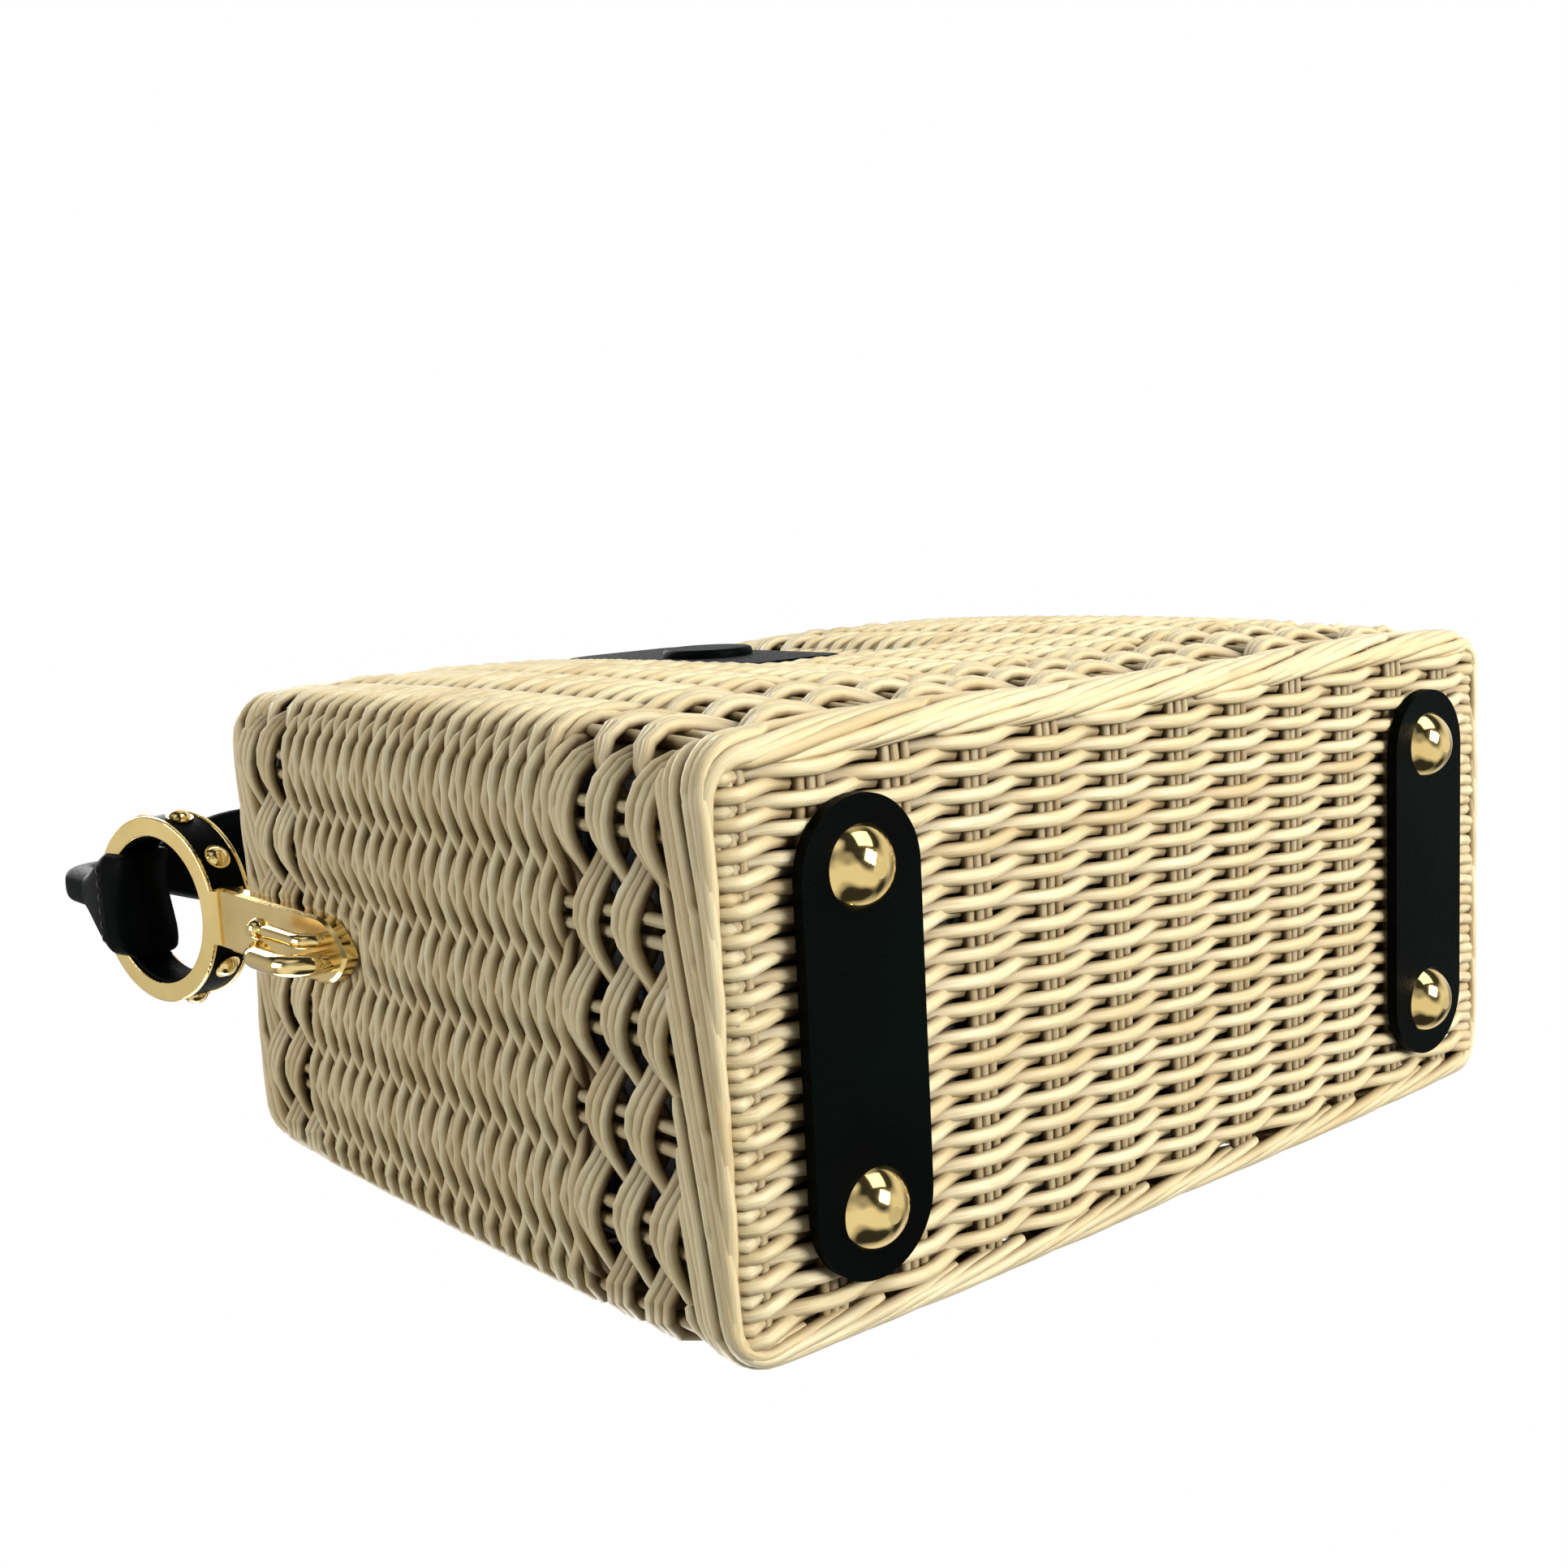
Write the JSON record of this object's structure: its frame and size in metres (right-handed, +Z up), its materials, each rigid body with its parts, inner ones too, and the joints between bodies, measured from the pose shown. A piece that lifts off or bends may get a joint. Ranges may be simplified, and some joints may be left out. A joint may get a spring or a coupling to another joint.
{
  "type": "basket box bag",
  "caption": "Woven rattan box handbag with a hinged lid, studded metal rings on the side plates, a padded leather handle and dome feet on leather strips.",
  "frame": {"origin": "on the floor plane under the middle of the bag, standing on its four feet", "axes": "+X to the bag's right end, +Y to its back, +Z up"},
  "size_m": [0.2774, 0.1164, 0.297],
  "materials": {
    "wicker": "natural peeled rattan, satin",
    "black_leather": "smooth black calf, light sheen",
    "gold_brass": "polished pale gold plating",
    "lining_cloth": "black plain-weave cloth",
    "steel": "plain"
  },
  "bodies": {
    "bag": {"basket_body": "wicker", "lining": "lining_cloth", "left_foot_strip": "black_leather", "right_foot_strip": "black_leather", "handle": "black_leather", "basket_magnet": "steel", "fixed_hinge_rivets": "gold_brass", "front_left_foot": "gold_brass", "front_left_foot_washer": "steel", "rear_left_foot": "gold_brass", "rear_left_foot_washer": "steel", "left_bracket": "gold_brass", "left_ring_band": "black_leather", "left_ring_studs": "gold_brass", "left_bracket_screws": "steel", "left_strap_hook": "gold_brass", "left_hook_keeper": "gold_brass", "left_hinge_fixed_leaf": "gold_brass", "left_hinge_pin": "steel", "front_right_foot": "gold_brass", "front_right_foot_washer": "steel", "rear_right_foot": "gold_brass", "rear_right_foot_washer": "steel", "right_bracket": "gold_brass", "right_ring_band": "black_leather", "right_ring_studs": "gold_brass", "right_bracket_screws": "steel", "right_strap_hook": "gold_brass", "right_hook_keeper": "gold_brass", "right_hinge_fixed_leaf": "gold_brass", "right_hinge_pin": "steel"},
    "lid": {"basket_lid": "wicker", "lid_lining": "lining_cloth", "closure_tab": "black_leather", "closure_button": "black_leather", "closure_rivets": "gold_brass", "closure_magnet": "steel", "moving_hinge_rivets": "gold_brass", "left_hinge_moving_leaf": "gold_brass", "right_hinge_moving_leaf": "gold_brass"}
  },
  "joints": [
    {"name": "lid_hinge", "type": "hinge", "parent": "bag", "child": "lid", "pos_m": [0, 0.056, 0.196], "axis": [-1, 0, 0], "range_deg": [0, 45]}
  ]
}
